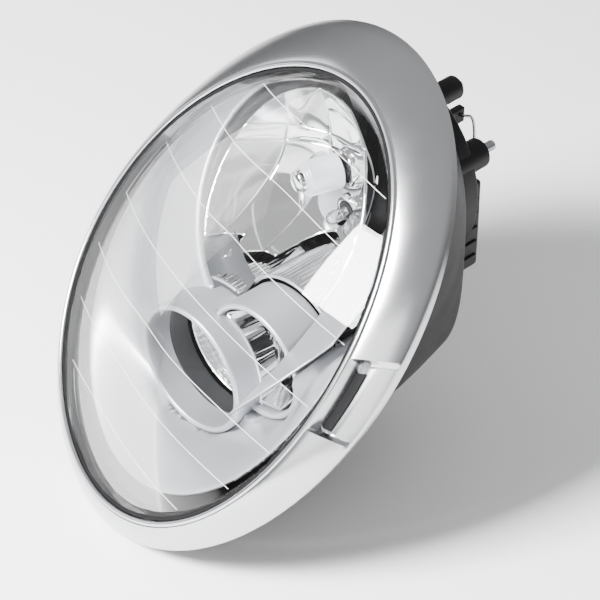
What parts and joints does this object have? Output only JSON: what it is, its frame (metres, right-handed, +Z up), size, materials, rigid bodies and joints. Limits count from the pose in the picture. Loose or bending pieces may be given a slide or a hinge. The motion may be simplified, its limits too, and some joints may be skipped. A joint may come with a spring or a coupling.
{
  "type": "car headlight",
  "caption": "Oval car headlight: domed clear lens in a satin ring, faceted main reflector over round lamps set in a bezel, dark rear housing with a sprung bulb cover and aim screws.",
  "frame": {"origin": "centre of the clear lens's outline, in the plane of its edge", "axes": "-Y is the way the lamp shines, +Z is up, +X is to the right seen from in front of the car"},
  "size_m": [0.2704, 0.2509, 0.2582],
  "materials": {
    "satin_silver": "satin, softly polished",
    "satin_bezel": "satin metallised",
    "clear_polycarbonate": "clear hard coat",
    "chrome": "vacuum metallised, mirror bright",
    "dark_grey_plastic": "fine grain",
    "charcoal_plastic": "fine grain",
    "black_plastic": "moulded, slight sheen",
    "black_rubber": "matt",
    "zinc_steel": "zinc plated",
    "spring_steel": "drawn wire and strip",
    "shield_grey": "painted grey",
    "clear_glass": "clear",
    "white_nylon": "natural nylon"
  },
  "bodies": {
    "housing": {"housing_shell": "black_plastic", "mount_ear_left": "black_plastic", "mount_ear_top": "black_plastic", "mount_ear_bottom": "black_plastic", "front_lens": "clear_polycarbonate", "lens_seal": "black_rubber", "trim_ring": "satin_silver", "trim_clip_1": "spring_steel", "trim_clip_2": "spring_steel", "trim_clip_3": "spring_steel", "trim_clip_4": "spring_steel", "bezel": "satin_bezel", "reflector_surround": "dark_grey_plastic", "left_ring_trim": "satin_bezel", "right_ring_trim": "satin_bezel", "left_lamp_tube": "charcoal_plastic", "left_lamp_reflector": "chrome", "right_lamp_reflector": "chrome", "fluted_apron": "chrome", "pivot_ball_stud": "zinc_steel", "levelling_motor": "black_plastic", "upper_stud": "zinc_steel", "mount_bush_left": "zinc_steel", "mount_bush_top": "zinc_steel", "mount_bush_bottom": "zinc_steel", "vent_cap": "black_rubber", "wiring_socket": "black_plastic"},
    "aim_socket": {"pivot_socket": "white_nylon"},
    "reflector": {"main_reflector": "chrome", "reflector_carrier": "black_plastic", "bulb_shield": "shield_grey"},
    "main_bulb": {"main_bulb_glass": "clear_glass", "main_bulb_base": "black_plastic"},
    "position_lamp": {"position_bulb": "clear_glass", "position_bulb_holder": "black_plastic"},
    "left_lamp_bulb": {"left_bulb": "clear_glass", "left_bulb_holder": "black_plastic"},
    "right_lamp_bulb": {"right_bulb": "clear_glass", "right_bulb_holder": "black_plastic"},
    "pan_nut": {"pan_adjuster_nut": "white_nylon"},
    "pan_screw": {"pan_adjuster_screw": "zinc_steel"},
    "spindle": {"tilt_spindle": "white_nylon"},
    "knob": {"tilt_knob": "white_nylon"},
    "access_cap": {"lower_access_cap": "black_plastic"},
    "cover": {"rear_cover": "black_plastic", "cover_seal": "black_rubber"},
    "bail": {"cover_bail": "spring_steel"}
  },
  "joints": [
    {"name": "reflector_pan", "type": "hinge", "parent": "housing", "child": "aim_socket", "pos_m": [-0.054, 0.098, 0.06], "axis": [0, 0, 1], "range_deg": [-2.5, 2.5]},
    {"name": "reflector_tilt", "type": "hinge", "parent": "aim_socket", "child": "reflector", "pos_m": [-0.054, 0.098, 0.06], "axis": [1, 0, 0], "range_deg": [-2.5, 2.5]},
    {"name": "pan_nut_travel", "type": "slide", "parent": "housing", "child": "pan_nut", "axis": [0, 1, 0], "range_m": [-0.0055, 0.0055]},
    {"name": "pan_screw_spin", "type": "hinge", "parent": "housing", "child": "pan_screw", "pos_m": [0.068, 0.155, 0.06], "axis": [0, 1, 0], "range_deg": [-1000, 1000]},
    {"name": "spindle_travel", "type": "slide", "parent": "housing", "child": "spindle", "axis": [0, 1, 0], "range_m": [-0.0037, 0.0037]},
    {"name": "knob_spin", "type": "hinge", "parent": "housing", "child": "knob", "pos_m": [-0.054, 0.1468, -0.02], "axis": [0, 1, 0], "range_deg": [-660, 660]},
    {"name": "main_bulb_twist", "type": "hinge", "parent": "reflector", "child": "main_bulb", "pos_m": [-0.003, 0.0703, 0.0394], "axis": [0.309, 0.9511, 0], "range_deg": [0, 45]},
    {"name": "position_bulb_twist", "type": "hinge", "parent": "reflector", "child": "position_lamp", "pos_m": [0.019, 0.086, 0.022], "axis": [0, 1, 0], "range_deg": [0, 45]},
    {"name": "left_bulb_twist", "type": "hinge", "parent": "housing", "child": "left_lamp_bulb", "pos_m": [-0.0041, 0.062, -0.0523], "axis": [0, 1, 0], "range_deg": [0, 45]},
    {"name": "right_bulb_twist", "type": "hinge", "parent": "housing", "child": "right_lamp_bulb", "pos_m": [0.0368, 0.06, -0.0303], "axis": [0, 1, 0], "range_deg": [0, 45]},
    {"name": "access_cap_twist", "type": "hinge", "parent": "housing", "child": "access_cap", "pos_m": [0.014, 0.116, -0.057], "axis": [0, 1, 0], "range_deg": [0, 60]},
    {"name": "cover_lift_off", "type": "slide", "parent": "housing", "child": "cover", "axis": [0, 1, 0], "range_m": [0, 0.06]},
    {"name": "bail_swing", "type": "hinge", "parent": "cover", "child": "bail", "pos_m": [0.014, 0.1467, 0.075], "axis": [1, 0, 0], "range_deg": [0, 110]}
  ],
  "couplings": [
    {"joint": "pan_nut_travel", "follows": "reflector_pan", "m_per_rad": 0.122},
    {"joint": "pan_screw_spin", "follows": "reflector_pan", "ratio": -383.27},
    {"joint": "spindle_travel", "follows": "reflector_tilt", "m_per_rad": 0.08},
    {"joint": "knob_spin", "follows": "reflector_tilt", "ratio": -251.33}
  ]
}
